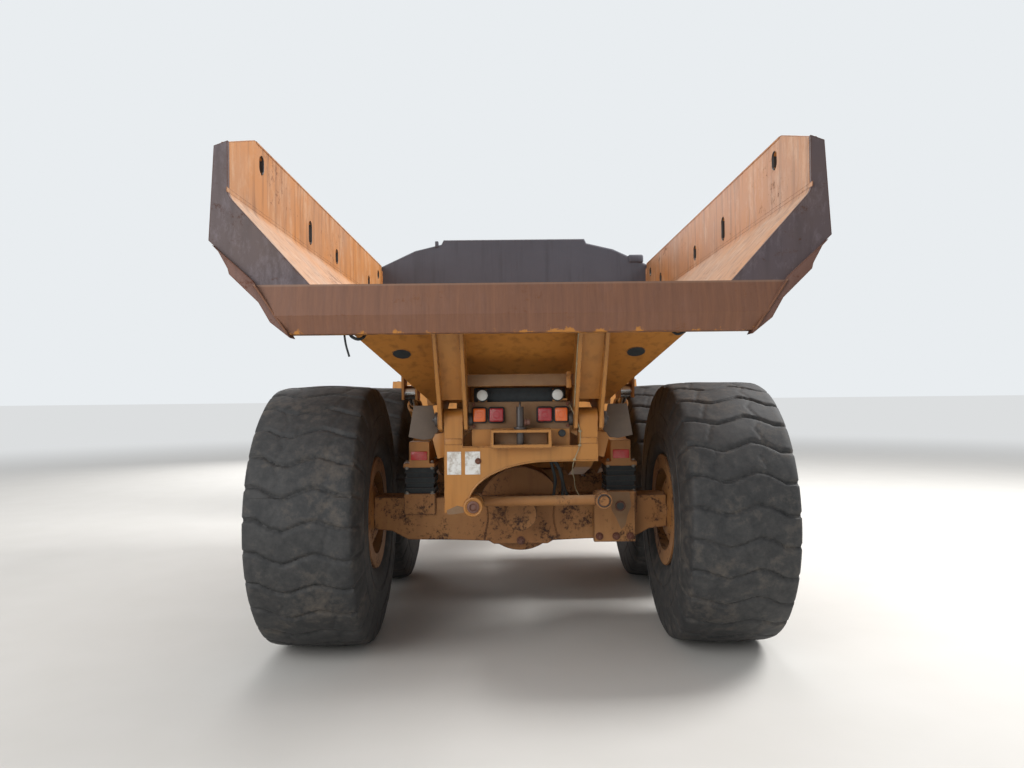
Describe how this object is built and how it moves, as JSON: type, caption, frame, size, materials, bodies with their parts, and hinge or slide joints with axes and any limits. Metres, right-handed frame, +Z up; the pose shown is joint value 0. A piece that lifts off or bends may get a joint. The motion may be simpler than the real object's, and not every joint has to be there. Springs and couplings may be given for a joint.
{
  "type": "articulated dump truck",
  "caption": "Six-wheel articulated dump truck with a tipping bed, pivot steering and a worn yellow finish.",
  "frame": {"origin": "on the ground under the middle of the overall length", "axes": "+X to the driver's right, +Y forward along the truck, +Z up"},
  "size_m": [3.52, 10.8999, 3.6995],
  "materials": {
    "yellow_paint": "weathered machine paint",
    "bed_paint": "worn paint over scratched steel",
    "rusty_steel": "rusty, dusty steel",
    "axle_paint": "dusty painted casting",
    "tyre_rubber": "worn, dusty rubber",
    "mount_rubber": "moulded rubber",
    "rod_chrome": "hard chrome",
    "dark_steel": "dark painted steel",
    "lamp_lens": "clear moulded lens",
    "window_glass": "tinted safety glass",
    "cab_plastic": "grained plastic",
    "engine_paint": "oily painted castings"
  },
  "bodies": {
    "rear_frame": {"rear_frame": "yellow_paint", "rear_axle": "axle_paint", "middle_axle": "axle_paint", "bogie_beams": "yellow_paint", "rubber_mounts": "mount_rubber", "axle_rods": "axle_paint", "driveshafts": "dark_steel", "tail_frame": "yellow_paint", "rear_lamps": "lamp_lens"},
    "bed": {"bed_tub": "bed_paint", "bed_sides": "bed_paint", "bed_ribs": "bed_paint", "bed_headboard": "bed_paint", "bed_tail": "rusty_steel", "bed_hinge_frame": "yellow_paint"},
    "hitch": {"hitch_yoke": "yellow_paint"},
    "tractor": {"front_frame": "yellow_paint", "front_axle": "axle_paint", "engine": "engine_paint", "radiator": "dark_steel", "bumper": "dark_steel", "headlamps": "lamp_lens", "fenders": "yellow_paint", "cab_shell": "yellow_paint", "cab_roof": "yellow_paint", "cab_glass": "window_glass", "cab_interior": "cab_plastic", "handrails": "dark_steel", "mirrors": "dark_steel", "exhaust": "rusty_steel", "tanks": "yellow_paint", "steps": "dark_steel"},
    "hood": {"hood": "yellow_paint", "grille": "dark_steel"},
    "door": {"cab_door": "yellow_paint", "door_glass": "window_glass"},
    "wheel_rear_left": {"tyre_rear_left": "tyre_rubber", "rim_rear_left": "yellow_paint"},
    "wheel_rear_right": {"tyre_rear_right": "tyre_rubber", "rim_rear_right": "yellow_paint"},
    "wheel_middle_left": {"tyre_middle_left": "tyre_rubber", "rim_middle_left": "yellow_paint"},
    "wheel_middle_right": {"tyre_middle_right": "tyre_rubber", "rim_middle_right": "yellow_paint"},
    "wheel_front_left": {"tyre_front_left": "tyre_rubber", "rim_front_left": "yellow_paint"},
    "wheel_front_right": {"tyre_front_right": "tyre_rubber", "rim_front_right": "yellow_paint"},
    "hoist_barrel_left": {"hoist_barrel_left": "yellow_paint"},
    "hoist_rod_left": {"hoist_rod_left": "rod_chrome"},
    "steer_barrel_left": {"steer_barrel_left": "yellow_paint"},
    "steer_rod_left": {"steer_rod_left": "rod_chrome"},
    "hoist_barrel_right": {"hoist_barrel_right": "yellow_paint"},
    "hoist_rod_right": {"hoist_rod_right": "rod_chrome"},
    "steer_barrel_right": {"steer_barrel_right": "yellow_paint"},
    "steer_rod_right": {"steer_rod_right": "rod_chrome"}
  },
  "joints": [
    {"name": "spin_rear_left", "type": "hinge", "parent": "rear_frame", "child": "wheel_rear_left", "pos_m": [-1.385, -4.05, 0.93], "axis": [1, 0, 0], "continuous": true},
    {"name": "spin_rear_right", "type": "hinge", "parent": "rear_frame", "child": "wheel_rear_right", "pos_m": [1.385, -4.05, 0.93], "axis": [1, 0, 0], "continuous": true},
    {"name": "spin_middle_left", "type": "hinge", "parent": "rear_frame", "child": "wheel_middle_left", "pos_m": [-1.385, -2.084, 0.93], "axis": [1, 0, 0], "continuous": true},
    {"name": "spin_middle_right", "type": "hinge", "parent": "rear_frame", "child": "wheel_middle_right", "pos_m": [1.385, -2.084, 0.93], "axis": [1, 0, 0], "continuous": true},
    {"name": "spin_front_left", "type": "hinge", "parent": "tractor", "child": "wheel_front_left", "pos_m": [-1.385, 2.179, 0.93], "axis": [1, 0, 0], "continuous": true},
    {"name": "spin_front_right", "type": "hinge", "parent": "tractor", "child": "wheel_front_right", "pos_m": [1.385, 2.179, 0.93], "axis": [1, 0, 0], "continuous": true},
    {"name": "bed_tip", "type": "hinge", "parent": "rear_frame", "child": "bed", "pos_m": [0, -4.71, 1.62], "axis": [1, 0, 0], "range_deg": [0, 70]},
    {"name": "hitch_roll", "type": "hinge", "parent": "rear_frame", "child": "hitch", "pos_m": [0, 0.199, 1.06], "axis": [0, 1, 0], "range_deg": [-15, 15]},
    {"name": "steering", "type": "hinge", "parent": "hitch", "child": "tractor", "pos_m": [0, 0.699, 1.06], "axis": [0, 0, 1], "range_deg": [-45, 45]},
    {"name": "hood_tilt", "type": "hinge", "parent": "tractor", "child": "hood", "pos_m": [0, 5.19, 1.26], "axis": [-1, 0, 0], "range_deg": [0, 60]},
    {"name": "door_swing", "type": "hinge", "parent": "tractor", "child": "door", "pos_m": [-0.842, 1.579, 2.75], "axis": [0, 0, 1], "range_deg": [0, 80]},
    {"name": "hoist_swing_left", "type": "hinge", "parent": "rear_frame", "child": "hoist_barrel_left", "pos_m": [-0.9, -1.3, 0.95], "axis": [1, 0, 0], "range_deg": [-10.94, 0]},
    {"name": "hoist_stroke_left", "type": "slide", "parent": "hoist_barrel_left", "child": "hoist_rod_left", "axis": [0, -0.9136, 0.4066], "range_m": [0, 1.64911]},
    {"name": "steer_swing_left", "type": "hinge", "parent": "tractor", "child": "steer_barrel_left", "pos_m": [-0.42, 1.599, 1.06], "axis": [0, 0, 1], "range_deg": [-7.38, 7.38]},
    {"name": "steer_stroke_left", "type": "slide", "parent": "steer_barrel_left", "child": "steer_rod_left", "axis": [0.1047, -0.9945, 0], "range_m": [-0.24459, 0.24459]},
    {"name": "hoist_swing_right", "type": "hinge", "parent": "rear_frame", "child": "hoist_barrel_right", "pos_m": [0.9, -1.3, 0.95], "axis": [1, 0, 0], "range_deg": [-10.94, 0]},
    {"name": "hoist_stroke_right", "type": "slide", "parent": "hoist_barrel_right", "child": "hoist_rod_right", "axis": [0, -0.9136, 0.4066], "range_m": [0, 1.64911]},
    {"name": "steer_swing_right", "type": "hinge", "parent": "tractor", "child": "steer_barrel_right", "pos_m": [0.42, 1.599, 1.06], "axis": [0, 0, 1], "range_deg": [-7.38, 7.38]},
    {"name": "steer_stroke_right", "type": "slide", "parent": "steer_barrel_right", "child": "steer_rod_right", "axis": [-0.1047, -0.9945, 0], "range_m": [-0.24459, 0.24459]}
  ],
  "couplings": [
    {"joint": "hoist_swing_left", "follows": "bed_tip", "ratio": -0.15624},
    {"joint": "hoist_stroke_left", "follows": "bed_tip", "m_per_rad": 1.3498},
    {"joint": "steer_swing_left", "follows": "steering", "ratio": -0.16409},
    {"joint": "steer_stroke_left", "follows": "steering", "m_per_rad": -0.31142},
    {"joint": "hoist_swing_right", "follows": "bed_tip", "ratio": -0.15624},
    {"joint": "hoist_stroke_right", "follows": "bed_tip", "m_per_rad": 1.3498},
    {"joint": "steer_swing_right", "follows": "steering", "ratio": -0.16409},
    {"joint": "steer_stroke_right", "follows": "steering", "m_per_rad": 0.31142}
  ]
}
